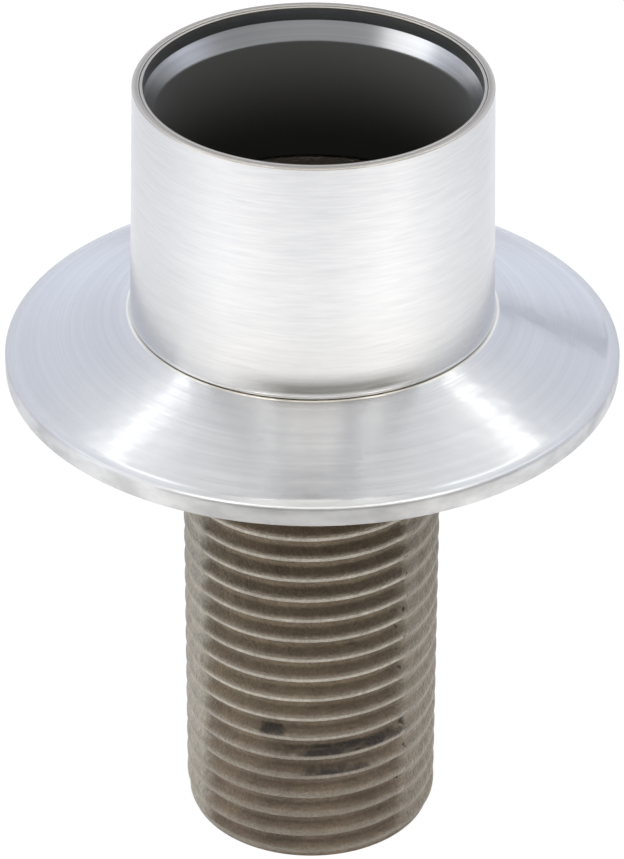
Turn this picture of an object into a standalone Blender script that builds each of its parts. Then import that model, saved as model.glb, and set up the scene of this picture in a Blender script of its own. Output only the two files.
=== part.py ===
"""A thru hull fitting: a turned metal head on a cast threaded stem, clamped to a hull by a lock nut.

The stem stands on the origin, along +Z. Its collar hangs on the flange's ledge and carries the barrel,
and the barrel holds the seat sleeve. The nut and the thrust washer are run up under the flange.
"""

import math

import bmesh
import bpy
from mathutils import Matrix, Vector

MM = 0.001

# Stem: a cast tube with a rounded fastening thread and a collar at its top.
STEM_LENGTH = 43.3 * MM  # from the stem's end to the flange's seat
THREAD_CREST_RADIUS = 10.75 * MM
THREAD_DEPTH = 0.8 * MM
THREAD_PITCH = 2.0 * MM
THREAD_CREST_WIDTH = 0.5 * MM
THREAD_FLANK_ANGLE = math.radians(30)
THREAD_PHASE = 1.2 * MM  # height of a crest on the +X side
THREAD_RUNOUT = 1.5 * MM
STEM_END_DROP = 0.45 * MM  # how much the stem's end is chamfered, on the radius
STEM_BORE_RADIUS = 7.5 * MM
SHANK_RISE = 0.15 * MM  # how far the plain shank stands over the crests
COLLAR_HEIGHT = 6.25 * MM
COLLAR_SEAT = 1.1 * MM  # width of the collar's bearing on the flange's ledge
COLLAR_LIP = 0.9 * MM  # flat land round the funnel's mouth
FUNNEL_ANGLE = math.radians(45)
LUG_WIDTH = 2.5 * MM  # two lugs in the bore, for a step wrench
LUG_RISE = 1.5 * MM
LUG_HEIGHT = 8.0 * MM
LUG_TOP_BELOW_LEDGE = 1.5 * MM

# Flange: a flat-based cone with an upright rim.
FLANGE_RADIUS = 25.05 * MM
FLANGE_HEIGHT = 5.15 * MM  # from the seat to the ledge under the barrel
RIM_HEIGHT = 1.4 * MM
RIM_ROUND = 0.8 * MM
RIM_CHAMFER = 0.2 * MM
LEDGE_OVERHANG = 0.3 * MM  # how far the ledge shows outside the barrel's base
LEDGE_ROUND = 0.15 * MM
RECESS_DEPTH = 2.3 * MM
RIB_WIDTH = 0.8 * MM  # between the recess and the gasket's groove
GASKET_WIDTH = 3.2 * MM
GASKET_THICKNESS = 1.1 * MM
GASKET_PROUD = 0.4 * MM

# Barrel and seat sleeve.
BARREL_HEIGHT = 20.0 * MM
BARREL_RIM_WALL = 0.5 * MM
BARREL_DRAFT = 0.5 * MM  # how much wider the barrel is at its base, on the radius
BARREL_CHAMFER = 0.12 * MM
SLEEVE_BORE_RADIUS = 12.7 * MM
SLEEVE_WALL = 0.95 * MM
SLEEVE_LIP = 0.23 * MM  # wall of the sleeve round the counterbore
SLEEVE_CHAMFER = 0.2 * MM
COUNTERBORE_DEPTH = 1.2 * MM
SEAT_HEIGHT = 1.5 * MM

# Seals, washer and nut.
FLANGE_O_RING_CORD = 1.2 * MM
COLLAR_O_RING_CORD = 1.5 * MM
COLLAR_GROOVE_WIDTH = 2.0 * MM
COLLAR_GROOVE_RISE = 2.2 * MM  # from the collar's underside to its groove
WASHER_OVERHANG = 3.0 * MM  # beyond the nut's flats
WASHER_THICKNESS = 1.2 * MM
WASHER_CHAMFER = 0.2 * MM
NUT_WALL = 3.25 * MM  # from the thread's crests to a flat
NUT_HEIGHT = 6.5 * MM
NUT_CORNER_DROP = 0.7 * MM
NUT_COUNTERSINK = 0.5 * MM

# Clearances.
REST_GAP = 0.3 * MM  # between faces that rest on each other
SLIP_GAP = 0.15 * MM  # round the sleeve and the O-rings
SHANK_GAP = 0.4 * MM  # between the shank and the flange's hole
WASHER_GAP = 0.35 * MM  # between the thread's crests and the washer's hole
RECESS_GAP = 0.6 * MM  # round the washer when it is run up into the flange
THREAD_GAP = 0.25 * MM  # between the stem's thread and the nut's, on the radius

CUTTER_MARGIN = 1.0 * MM  # how far a cutter reaches past the face it cuts

# Facets: the round pieces share one count, so that their walls stay parallel.
ROUND_STEPS = 48
THREAD_STEPS = 32
CORD_STEPS = 8
ROUND_CORNER_STEPS = 4

# Heights that follow from these.
SEAT_Z = STEM_LENGTH
LEDGE_Z = SEAT_Z + FLANGE_HEIGHT
BARREL_BASE_Z = LEDGE_Z + SLIP_GAP
RIM_Z = BARREL_BASE_Z + BARREL_HEIGHT
COLLAR_BASE_Z = LEDGE_Z + REST_GAP
COLLAR_TOP_Z = COLLAR_BASE_Z + COLLAR_HEIGHT
RECESS_Z = SEAT_Z + RECESS_DEPTH
THREAD_TOP_Z = RECESS_Z
WASHER_TOP_Z = RECESS_Z - REST_GAP
NUT_TOP_Z = WASHER_TOP_Z - WASHER_THICKNESS - REST_GAP

# Radii that follow from these. The barrel clears the sleeve or the collar, whichever is wider.
SHANK_RADIUS = THREAD_CREST_RADIUS + SHANK_RISE
STEM_END_RADIUS = THREAD_CREST_RADIUS - STEM_END_DROP
HOLE_RADIUS = SHANK_RADIUS + SHANK_GAP
FLANGE_GROOVE_RADIUS = SHANK_RADIUS + FLANGE_O_RING_CORD + 2 * SLIP_GAP
BARREL_BORE_RADIUS = max(
    SLEEVE_BORE_RADIUS + SLEEVE_WALL + SLIP_GAP,
    FLANGE_GROOVE_RADIUS + COLLAR_SEAT + REST_GAP,
)
SLEEVE_RADIUS = BARREL_BORE_RADIUS - SLIP_GAP
COUNTERBORE_RADIUS = SLEEVE_RADIUS - SLEEVE_LIP
BARREL_RIM_RADIUS = BARREL_BORE_RADIUS + BARREL_RIM_WALL
BARREL_BASE_RADIUS = BARREL_RIM_RADIUS + BARREL_DRAFT
LEDGE_RADIUS = BARREL_BASE_RADIUS + LEDGE_OVERHANG
COLLAR_RADIUS = BARREL_BORE_RADIUS - REST_GAP
COLLAR_GROOVE_RADIUS = BARREL_BORE_RADIUS - COLLAR_O_RING_CORD - 2 * SLIP_GAP
FLANGE_GROOVE_Z = COLLAR_BASE_Z - FLANGE_O_RING_CORD - 2 * SLIP_GAP
NUT_ACROSS_FLATS = 2 * (THREAD_CREST_RADIUS + NUT_WALL)
NUT_CORNER_RADIUS = NUT_ACROSS_FLATS / 2 / math.cos(math.radians(30))
WASHER_RADIUS = NUT_ACROSS_FLATS / 2 + WASHER_OVERHANG
RECESS_RADIUS = WASHER_RADIUS + RECESS_GAP
GASKET_INNER_RADIUS = RECESS_RADIUS + RIB_WIDTH + REST_GAP
GASKET_TOP_Z = SEAT_Z - GASKET_PROUD + GASKET_THICKNESS


def new_material(name, color, roughness, metallic):
    material = bpy.data.materials.new(name)
    material.use_nodes = True
    shader = material.node_tree.nodes["Principled BSDF"]
    shader.inputs["Base Color"].default_value = (*color, 1)
    shader.inputs["Roughness"].default_value = roughness
    shader.inputs["Metallic"].default_value = metallic
    material.diffuse_color = (*color, 1)
    return material


def clear_scene():
    for obj in list(bpy.data.objects):
        bpy.data.objects.remove(obj)


def new_collection(name):
    collection = bpy.data.collections.new(name)
    bpy.context.scene.collection.children.link(collection)
    return collection


def add_object(name, mesh, collection, material=None):
    obj = bpy.data.objects.new(name, mesh)
    collection.objects.link(obj)
    if material:
        mesh.materials.append(material)
    return obj


def finish_mesh(bm, name):
    """The mesh of a bmesh, shaded smooth except across its edges."""
    mesh = bpy.data.meshes.new(name)
    bm.to_mesh(mesh)
    bm.free()
    mesh.shade_smooth()
    mesh.set_sharp_from_angle(angle=math.radians(35))
    return mesh


def turned(name, section, collection, material=None, steps=ROUND_STEPS):
    """A ring turned about Z from a closed (radius, height) section that runs down its outer side."""
    bm = bmesh.new()
    corners = [bm.verts.new((radius, 0, height)) for radius, height in section]
    for first, second in zip(corners, corners[1:] + corners[:1]):
        bm.edges.new((first, second))
    obj = add_object(name, finish_mesh(bm, name), collection, material)
    screw = obj.modifiers.new("Turn", "SCREW")
    screw.axis = "Z"
    screw.angle = 2 * math.pi
    screw.steps = screw.render_steps = steps
    screw.use_merge_vertices = True
    screw.merge_threshold = 0.000001
    screw.use_smooth_shade = True
    return obj


def arc(centre, radius, start, end, steps=ROUND_CORNER_STEPS):
    """Points on an arc in the (radius, height) plane, from one angle to another."""
    angles = [start + (end - start) * i / steps for i in range(steps + 1)]
    return [
        (centre[0] + radius * math.cos(a), centre[1] + radius * math.sin(a))
        for a in angles
    ]


def box_section(inner, outer, bottom, top):
    return [(outer, top), (outer, bottom), (inner, bottom), (inner, top)]


def chamfered_section(inner, outer, bottom, top, chamfer):
    return [
        (outer - chamfer, top),
        (outer, top - chamfer),
        (outer, bottom + chamfer),
        (outer - chamfer, bottom),
        (inner + chamfer, bottom),
        (inner, bottom + chamfer),
        (inner, top - chamfer),
        (inner + chamfer, top),
    ]


def boolean(obj, cutter, operation):
    modifier = obj.modifiers.new(operation.title(), "BOOLEAN")
    modifier.operation = operation
    modifier.object = cutter
    modifier.solver = "EXACT"


def thread_rows():
    """One pitch of the thread as (height, radius) rows, from the foot of a crest upwards."""
    flank = THREAD_DEPTH * math.tan(THREAD_FLANK_ANGLE)
    root = THREAD_CREST_RADIUS - THREAD_DEPTH
    half = THREAD_CREST_WIDTH / 2
    return [
        (-half, THREAD_CREST_RADIUS),
        (half, THREAD_CREST_RADIUS),
        (half + flank, root),
        (THREAD_PITCH - half - flank, root),
    ]


def thread_wall(bm, low, high, low_radius, high_radius, runout, extra=0.0):
    """A right-hand thread wrapped round Z between two heights. It fades out to a plain ring at each end.

    Every row climbs one pitch in a turn, so a row's end meets the start of the row one pitch above.
    """
    rows = []
    first_turn = math.floor((low - THREAD_PHASE) / THREAD_PITCH) - 1
    last_turn = math.ceil((high - THREAD_PHASE) / THREAD_PITCH) + 1
    for turn in range(first_turn, last_turn + 1):
        for offset, radius in thread_rows():
            rows.append((THREAD_PHASE + turn * THREAD_PITCH + offset, radius + extra))
    grid = bmesh.ops.create_grid(
        bm, x_segments=THREAD_STEPS, y_segments=len(rows) - 1, size=0.5
    )
    for vert in grid["verts"]:
        step = round((vert.co.x + 0.5) * THREAD_STEPS)
        height, radius = rows[round((vert.co.y + 0.5) * (len(rows) - 1))]
        height += THREAD_PITCH * step / THREAD_STEPS
        if height < (low + high) / 2:
            end, end_radius = low, low_radius
        else:
            end, end_radius = high, high_radius
        height = min(max(height, low), high)
        share = min(abs(height - end) / runout, 1)
        radius = end_radius + (radius - end_radius) * share
        angle = 2 * math.pi * (step % THREAD_STEPS) / THREAD_STEPS
        vert.co = Vector((radius * math.cos(angle), radius * math.sin(angle), height))
    bmesh.ops.remove_doubles(bm, verts=bm.verts, dist=0.000001)


def rim_edges(bm, height):
    """The open edges at one height."""
    return [
        edge
        for edge in bm.edges
        if edge.is_boundary and all(abs(v.co.z - height) < 0.000001 for v in edge.verts)
    ]


def carry_rim(bm, edges, points):
    """Extrudes a round rim through a list of (radius, height) points and returns its last edges."""
    for radius, height in points:
        made = bmesh.ops.extrude_edge_only(bm, edges=edges)["geom"]
        edges = [item for item in made if isinstance(item, bmesh.types.BMEdge)]
        edges = [edge for edge in edges if edge.is_boundary]
        for vert in {vert for edge in edges for vert in edge.verts}:
            flat = Vector((vert.co.x, vert.co.y, 0)).normalized() * radius
            vert.co = Vector((flat.x, flat.y, height))
    return edges


def stem_mesh():
    bm = bmesh.new()
    thread_wall(bm, 0, THREAD_TOP_Z, STEM_END_RADIUS, SHANK_RADIUS, THREAD_RUNOUT)
    groove_low = COLLAR_BASE_Z + COLLAR_GROOVE_RISE
    groove_high = groove_low + COLLAR_GROOVE_WIDTH
    funnel_radius = COLLAR_RADIUS - COLLAR_LIP
    funnel_foot = COLLAR_TOP_Z - (funnel_radius - STEM_BORE_RADIUS) / math.tan(FUNNEL_ANGLE)
    outside = [
        (SHANK_RADIUS, COLLAR_BASE_Z),
        (COLLAR_RADIUS, COLLAR_BASE_Z),
        (COLLAR_RADIUS, groove_low),
        (COLLAR_GROOVE_RADIUS, groove_low),
        (COLLAR_GROOVE_RADIUS, groove_high),
        (COLLAR_RADIUS, groove_high),
        (COLLAR_RADIUS, COLLAR_TOP_Z),
        (funnel_radius, COLLAR_TOP_Z),
        (STEM_BORE_RADIUS, funnel_foot),
    ]
    top = carry_rim(bm, rim_edges(bm, THREAD_TOP_Z), outside)
    bottom = carry_rim(bm, rim_edges(bm, 0), [(STEM_BORE_RADIUS, 0)])
    bmesh.ops.bridge_loops(bm, edges=top + bottom)
    bmesh.ops.recalc_face_normals(bm, faces=bm.faces)
    return finish_mesh(bm, "threaded_stem")


def box_mesh(name, size, centre):
    bm = bmesh.new()
    bmesh.ops.create_cube(bm, size=1)
    bmesh.ops.scale(bm, vec=size, verts=bm.verts)
    bmesh.ops.translate(bm, vec=centre, verts=bm.verts)
    return finish_mesh(bm, name)


def make_stem(parts, cutters):
    bronze = new_material("cast_bronze", (0.20, 0.16, 0.12), 0.55, 0.8)
    stem = add_object("threaded_stem", stem_mesh(), parts, bronze)
    root = LUG_RISE / 2  # how far each lug reaches into the wall
    lug_top = LEDGE_Z - LUG_TOP_BELOW_LEDGE
    size = (LUG_RISE + root, LUG_WIDTH, LUG_HEIGHT)
    for name, side in (("left_lug", -1), ("right_lug", 1)):
        middle = side * (STEM_BORE_RADIUS + (root - LUG_RISE) / 2)
        centre = (middle, 0, lug_top - LUG_HEIGHT / 2)
        lug = add_object(name, box_mesh(name, size, centre), cutters)
        boolean(stem, lug, "UNION")
    return stem


def flange_section():
    """The flange's section: the cone and rim outside, then the seat, the grooves and the ledge."""
    slope = math.atan2(FLANGE_HEIGHT - RIM_HEIGHT, FLANGE_RADIUS - LEDGE_RADIUS)
    up = math.pi / 2
    ledge_reach = LEDGE_ROUND * math.tan((up - slope) / 2)
    ledge_centre = (LEDGE_RADIUS - LEDGE_ROUND, LEDGE_Z - LEDGE_ROUND)
    rim_reach = RIM_ROUND * math.tan((up - slope) / 2)
    rim_centre = (FLANGE_RADIUS - RIM_ROUND, SEAT_Z + RIM_HEIGHT - rim_reach)
    groove_inner = RECESS_RADIUS + RIB_WIDTH
    groove_outer = groove_inner + GASKET_WIDTH + 2 * REST_GAP
    groove_z = GASKET_TOP_Z + REST_GAP
    return (
        arc(ledge_centre, LEDGE_ROUND, up, up - slope, 2)
        + arc(rim_centre, RIM_ROUND, up - slope, 0)
        + [
            (FLANGE_RADIUS, SEAT_Z + RIM_CHAMFER),
            (FLANGE_RADIUS - RIM_CHAMFER, SEAT_Z),
            (groove_outer, SEAT_Z),
            (groove_outer, groove_z),
            (groove_inner, groove_z),
            (groove_inner, SEAT_Z),
            (RECESS_RADIUS, SEAT_Z),
            (RECESS_RADIUS, RECESS_Z),
            (HOLE_RADIUS, RECESS_Z),
            (HOLE_RADIUS, FLANGE_GROOVE_Z),
            (FLANGE_GROOVE_RADIUS, FLANGE_GROOVE_Z),
            (FLANGE_GROOVE_RADIUS, LEDGE_Z),
        ]
    )


def barrel_section():
    return [
        (BARREL_RIM_RADIUS - BARREL_CHAMFER, RIM_Z),
        (BARREL_RIM_RADIUS, RIM_Z - BARREL_CHAMFER),
        (BARREL_BASE_RADIUS, BARREL_BASE_Z + BARREL_CHAMFER),
        (BARREL_BASE_RADIUS - BARREL_CHAMFER, BARREL_BASE_Z),
        (BARREL_BORE_RADIUS, BARREL_BASE_Z),
        (BARREL_BORE_RADIUS, RIM_Z),
    ]


def sleeve_section():
    seat_top = RIM_Z - COUNTERBORE_DEPTH
    seat_foot = seat_top - SEAT_HEIGHT
    bottom = COLLAR_TOP_Z + REST_GAP
    return [
        (SLEEVE_RADIUS, RIM_Z),
        (SLEEVE_RADIUS, bottom + SLEEVE_CHAMFER),
        (SLEEVE_RADIUS - SLEEVE_CHAMFER, bottom),
        (SLEEVE_BORE_RADIUS, bottom),
        (SLEEVE_BORE_RADIUS, seat_foot),
        (COUNTERBORE_RADIUS, seat_top),
        (COUNTERBORE_RADIUS, RIM_Z),
    ]


def o_ring_section(inner, cord, bottom):
    """A round cord that stands on a height. It runs clockwise, down its outer side."""
    centre = (inner + cord / 2, bottom + cord / 2)
    return arc(centre, cord / 2, 0, -2 * math.pi, CORD_STEPS)[:-1]


def nut_blank():
    """A hexagonal prism with two flats square to Y."""
    bm = bmesh.new()
    bmesh.ops.create_cone(
        bm,
        cap_ends=True,
        segments=6,
        radius1=NUT_CORNER_RADIUS,
        radius2=NUT_CORNER_RADIUS,
        depth=NUT_HEIGHT,
    )
    quarter = Matrix.Rotation(math.pi / 2, 3, "Z")  # the first corner is made on +Y
    bmesh.ops.rotate(bm, verts=bm.verts, cent=(0, 0, 0), matrix=quarter)
    bmesh.ops.translate(bm, vec=(0, 0, NUT_TOP_Z - NUT_HEIGHT / 2), verts=bm.verts)
    return finish_mesh(bm, "lock_nut")


def thread_plug_mesh(low, high, extra):
    """A solid threaded plug, which cuts the matching thread in a nut."""
    bm = bmesh.new()
    core = THREAD_CREST_RADIUS - THREAD_DEPTH
    thread_wall(bm, low, high, core, core, THREAD_RUNOUT, extra)
    bmesh.ops.holes_fill(bm, edges=bm.edges, sides=0)
    bmesh.ops.recalc_face_normals(bm, faces=bm.faces)
    return finish_mesh(bm, "thread_plug")


def nut_envelope_section():
    """A ring whose end cones take the corners off a hexagonal nut at both faces."""
    bottom = NUT_TOP_Z - NUT_HEIGHT
    flat = NUT_ACROSS_FLATS / 2
    outer = NUT_CORNER_RADIUS + CUTTER_MARGIN
    drop = NUT_CORNER_DROP * (outer - flat) / (NUT_CORNER_RADIUS - flat)
    inner = THREAD_CREST_RADIUS / 2
    return [
        (flat, NUT_TOP_Z),
        (outer, NUT_TOP_Z - drop),
        (outer, bottom + drop),
        (flat, bottom),
        (flat, bottom - CUTTER_MARGIN),
        (inner, bottom - CUTTER_MARGIN),
        (inner, NUT_TOP_Z + CUTTER_MARGIN),
        (flat, NUT_TOP_Z + CUTTER_MARGIN),
    ]


def countersink_mesh(face, out):
    """A 45 degree cone that opens the nut's thread at a face, out being 1 at the top and -1 below."""
    inner = THREAD_CREST_RADIUS / 2
    outer = THREAD_CREST_RADIUS + THREAD_GAP + NUT_COUNTERSINK + CUTTER_MARGIN
    bm = bmesh.new()
    radii = (inner, outer) if out > 0 else (outer, inner)
    bmesh.ops.create_cone(
        bm,
        cap_ends=True,
        segments=ROUND_STEPS,
        radius1=radii[0],
        radius2=radii[1],
        depth=outer - inner,
    )
    middle = face + out * (CUTTER_MARGIN - (outer - inner) / 2)
    bmesh.ops.translate(bm, vec=(0, 0, middle), verts=bm.verts)
    return finish_mesh(bm, "countersink")


def make_nut(parts, cutters):
    bronze = new_material("nut_bronze", (0.42, 0.30, 0.16), 0.38, 0.95)
    nut = add_object("lock_nut", nut_blank(), parts, bronze)
    bottom = NUT_TOP_Z - NUT_HEIGHT
    boolean(nut, turned("nut_envelope", nut_envelope_section(), cutters), "INTERSECT")
    reach = THREAD_PITCH + THREAD_RUNOUT
    plug_mesh = thread_plug_mesh(bottom - reach, NUT_TOP_Z + reach, THREAD_GAP)
    boolean(nut, add_object("thread_plug", plug_mesh, cutters), "DIFFERENCE")
    for name, face, out in (("top_sink", NUT_TOP_Z, 1), ("bottom_sink", bottom, -1)):
        sink = add_object(name, countersink_mesh(face, out), cutters)
        boolean(nut, sink, "DIFFERENCE")
    return nut


def main():
    clear_scene()
    parts = new_collection("thru_hull_fitting")
    cutters = new_collection("cutters")

    make_stem(parts, cutters)
    polished = new_material("polished_steel", (0.78, 0.79, 0.80), 0.22, 1.0)
    brushed = new_material("brushed_steel", (0.76, 0.77, 0.78), 0.32, 1.0)
    liner = new_material("liner_steel", (0.30, 0.30, 0.29), 0.45, 0.9)
    washer_bronze = new_material("washer_bronze", (0.45, 0.33, 0.18), 0.42, 0.95)
    turned("flange", flange_section(), parts, polished)
    turned("barrel", barrel_section(), parts, brushed)
    turned("seat_sleeve", sleeve_section(), parts, liner)

    black = new_material("nitrile_rubber", (0.02, 0.02, 0.02), 0.7, 0.0)
    flange_ring = o_ring_section(
        SHANK_RADIUS + SLIP_GAP, FLANGE_O_RING_CORD, FLANGE_GROOVE_Z + SLIP_GAP
    )
    turned("flange_o_ring", flange_ring, parts, black)
    groove_middle = COLLAR_BASE_Z + COLLAR_GROOVE_RISE + COLLAR_GROOVE_WIDTH / 2
    collar_ring = o_ring_section(
        COLLAR_GROOVE_RADIUS + SLIP_GAP,
        COLLAR_O_RING_CORD,
        groove_middle - COLLAR_O_RING_CORD / 2,
    )
    turned("collar_o_ring", collar_ring, parts, black)
    gasket_outer = GASKET_INNER_RADIUS + GASKET_WIDTH
    gasket_bottom = GASKET_TOP_Z - GASKET_THICKNESS
    gasket = box_section(GASKET_INNER_RADIUS, gasket_outer, gasket_bottom, GASKET_TOP_Z)
    turned("hull_gasket", gasket, parts, black)

    washer_bore = THREAD_CREST_RADIUS + WASHER_GAP
    washer = chamfered_section(
        washer_bore, WASHER_RADIUS, WASHER_TOP_Z - WASHER_THICKNESS, WASHER_TOP_Z, WASHER_CHAMFER
    )
    turned("thrust_washer", washer, parts, washer_bronze)
    make_nut(parts, cutters)

    for cutter in cutters.objects:
        cutter.hide_render = True
        cutter.display_type = "WIRE"


main()
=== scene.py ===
# %% [markdown]
# # A thru hull fitting
#
# A thru hull fitting carries a pipe through the skin of a boat. This one has a bright turned head, which is
# a brushed barrel on a polished conical flange, and a threaded stem cast in bronze. A lock nut on the stem
# clamps the hull against the flange. The solid model already holds every size and every joint. This script
# loads it as a fixed frame, and replaces each plain solid with a finely modelled piece that has its own
# finish.

# %% Load the frame
import math

import bmesh
import bpy
from mathutils import Matrix, Vector


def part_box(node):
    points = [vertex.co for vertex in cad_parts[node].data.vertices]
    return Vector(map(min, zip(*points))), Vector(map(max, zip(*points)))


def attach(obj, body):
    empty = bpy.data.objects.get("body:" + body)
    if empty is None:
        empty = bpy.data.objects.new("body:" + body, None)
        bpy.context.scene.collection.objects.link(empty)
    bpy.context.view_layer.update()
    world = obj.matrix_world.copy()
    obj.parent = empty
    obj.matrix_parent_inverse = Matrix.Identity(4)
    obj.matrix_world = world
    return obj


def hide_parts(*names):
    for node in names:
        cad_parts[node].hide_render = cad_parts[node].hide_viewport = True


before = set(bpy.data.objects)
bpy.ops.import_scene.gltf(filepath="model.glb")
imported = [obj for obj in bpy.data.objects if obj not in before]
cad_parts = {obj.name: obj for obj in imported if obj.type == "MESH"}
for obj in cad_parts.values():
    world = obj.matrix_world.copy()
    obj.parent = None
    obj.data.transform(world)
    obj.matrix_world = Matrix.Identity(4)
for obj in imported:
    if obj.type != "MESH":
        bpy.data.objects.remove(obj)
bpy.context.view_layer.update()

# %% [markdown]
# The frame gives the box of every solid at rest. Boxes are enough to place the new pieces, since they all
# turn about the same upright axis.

MM = 0.001


def extent(node):
    """The radius, the lowest height and the highest height of a round node."""
    low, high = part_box(node)
    return high.x, low.z, high.z


barrel_radius, _, rim_top = extent("barrel")
flange_radius, seat_z, ledge_z = extent("flange")
sleeve_radius, sleeve_base, _ = extent("seat_sleeve")
collar_radius, _, collar_top = extent("threaded_stem")
washer_radius, washer_base, washer_top = extent("thrust_washer")
gasket_radius, gasket_base, gasket_top = extent("hull_gasket")
nut_base, nut_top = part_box("lock_nut")[0].z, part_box("lock_nut")[1].z
nut_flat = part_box("lock_nut")[1].y
print(f"rim at {rim_top / MM:.1f} mm, flange {flange_radius * 2 / MM:.1f} mm across")

# %% [markdown]
# Nearly every piece is turned on a lathe, so one helper makes them all. A profile is a chain of points
# beside the axis. Each corner may be rounded first, with a bevel on that one vertex, and then bmesh's spin
# sweeps the chain round the axis. Spin leaves the start and the end apart unless it is told to merge them.

# %% Helpers for turned pieces
ROUND_STEPS = 192
MERGE_DISTANCE = 0.000002
SMOOTH_ANGLE = math.radians(32)


def chain(bm, corners, closed, segments=5):
    """Adds (radius, height, rounding) corners as joined vertices, and rounds those that ask for it."""
    verts = [bm.verts.new((radius, 0, height)) for radius, height, _ in corners]
    pairs = list(zip(verts, verts[1:])) + ([(verts[-1], verts[0])] if closed else [])
    for first, second in pairs:
        bm.edges.new((first, second))
    for vert, (_, _, rounding) in zip(verts, corners):
        if rounding:
            bmesh.ops.bevel(
                bm,
                geom=[vert],
                offset=rounding,
                segments=segments,
                profile=0.5,
                affect="VERTICES",
                material=-1,
            )


def spin_round(bm, steps=ROUND_STEPS, climb=0.0):
    """Sweeps the whole bmesh once round Z. A climb lifts the sweep as it turns, as a thread does."""
    bmesh.ops.spin(
        bm,
        geom=bm.verts[:] + bm.edges[:],
        cent=(0, 0, 0),
        axis=(0, 0, 1),
        dvec=(0, 0, climb / steps),
        angle=2 * math.pi,
        steps=steps,
        use_merge=not climb,
    )
    bmesh.ops.remove_doubles(bm, verts=bm.verts, dist=MERGE_DISTANCE)


def to_piece(bm, name):
    """Turns a bmesh into an object whose faces point outwards and whose soft edges are smooth."""
    bmesh.ops.recalc_face_normals(bm, faces=bm.faces)
    mesh = bpy.data.meshes.new(name)
    bm.to_mesh(mesh)
    bm.free()
    mesh.shade_smooth()
    mesh.set_sharp_from_angle(angle=SMOOTH_ANGLE)
    piece = bpy.data.objects.new(name, mesh)
    bpy.context.scene.collection.objects.link(piece)
    return piece


def turned_piece(name, corners):
    bm = bmesh.new()
    chain(bm, corners, closed=True)
    spin_round(bm)
    piece = to_piece(bm, name)
    print(f"{name}: {len(piece.data.polygons)} faces")
    return piece


def settle(piece, node, body, material):
    """Says which solid a piece stands for, which body it moves with and what it is made of."""
    piece.data.materials.append(material)
    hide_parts(node)
    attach(piece, body)
    print(f"{piece.name} stands for {node}, rides the {body} and is finished in {material.name}")


# %% [markdown]
# A finish is a small network of nodes. Writing it out link by link is long, so these helpers add a node
# with its settings and join its inputs in one call. A value that is the same everywhere goes straight on
# the shader.

# %% Helpers for finishes
def new_finish(name, **shader_values):
    """A material with a Principled shader. Keyword names stand for its sockets, with _ for a space."""
    material = bpy.data.materials.new(name)
    material.use_nodes = True
    shader = material.node_tree.nodes["Principled BSDF"]
    for socket, value in shader_values.items():
        shader.inputs[socket.replace("_", " ")].default_value = value
    return material, shader


def add(tree, kind, inputs=(), **settings):
    """Adds a node. Each input is a number, a tuple or the socket of another node."""
    node = tree.nodes.new(kind)
    for name, value in settings.items():
        setattr(node, name, value)
    for key, value in dict(inputs).items():
        if isinstance(value, bpy.types.NodeSocket):
            tree.links.new(value, node.inputs[key])
        else:
            node.inputs[key].default_value = value
    return node


def ramp(tree, factor, stops):
    """A color ramp from (position, color) stops. A single number is a grey."""
    node = add(tree, "ShaderNodeValToRGB", {0: factor})
    elements = node.color_ramp.elements
    for index, (position, color) in enumerate(stops):
        element = elements[index] if index < 2 else elements.new(position)
        element.position = position
        color = (color,) * 3 if isinstance(color, (int, float)) else color
        element.color = (*color, 1)
    return node.outputs[0]


def blend_colors(tree, factor, first, second, mode="MIX"):
    node = add(tree, "ShaderNodeMix", data_type="RGBA", blend_type=mode)
    for index, value in ((0, factor), (6, first), (7, second)):
        if isinstance(value, bpy.types.NodeSocket):
            tree.links.new(value, node.inputs[index])
        else:
            node.inputs[index].default_value = value if index == 0 else (*value, 1)
    return node.outputs[2]


def smooth_between(tree, value, low, high):
    """0 at low and 1 at high, with a smooth step between them. Low may be the greater of the two."""
    limits = {"Value": value, "From Min": low, "From Max": high}
    return add(tree, "ShaderNodeMapRange", limits, interpolation_type="SMOOTHSTEP").outputs[0]


def bump(tree, height, distance, strength=1.0, normal=None):
    inputs = {"Height": height, "Distance": distance, "Strength": strength}
    if normal:
        inputs["Normal"] = normal
    return add(tree, "ShaderNodeBump", inputs).outputs["Normal"]


def join_shader(tree, shader, **values):
    """Joins each value to the shader's socket of that name, with _ for a space."""
    for socket, value in values.items():
        tree.links.new(value, shader.inputs[socket.replace("_", " ")])


# %% [markdown]
# A finish also needs sums: how far a point is from a seam, or two masks times each other. Each is one Math
# node. Short names for the common ones keep the finishes readable, and a product takes any number of
# factors.

# %% Sums for finishes
def math_node(tree, operation, first, second=0.0):
    return add(tree, "ShaderNodeMath", {0: first, 1: second}, operation=operation).outputs[0]


def total(tree, first, second):
    return math_node(tree, "ADD", first, second)


def difference(tree, first, second):
    return math_node(tree, "SUBTRACT", first, second)


def apart(tree, first, second):
    return math_node(tree, "ABSOLUTE", difference(tree, first, second))


def product(tree, *factors):
    result = factors[0]
    for factor in factors[1:]:
        result = math_node(tree, "MULTIPLY", result, factor)
    return result


def off_whole(tree, value):
    """How far a value is from the nearest whole number, from -0.5 to 0.5."""
    return difference(tree, math_node(tree, "FRACT", total(tree, value, 0.5)), 0.5)


# %% [markdown]
# Tool marks on a turned piece run round it. The pattern must change fast across the marks and slowly along
# them. So the three numbers that drive the noise are x and y, lightly scaled, and a third that counts along
# the profile: radius plus part of the height, strongly scaled. The marks then have no seam, on walls, cones
# and flat faces.

# %% Coordinates for turned finishes
from collections import namedtuple

Place = namedtuple("Place", "coords x y z radius")
HEIGHT_SHARE = 0.6
RING_ROUGHNESS = 0.55


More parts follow.
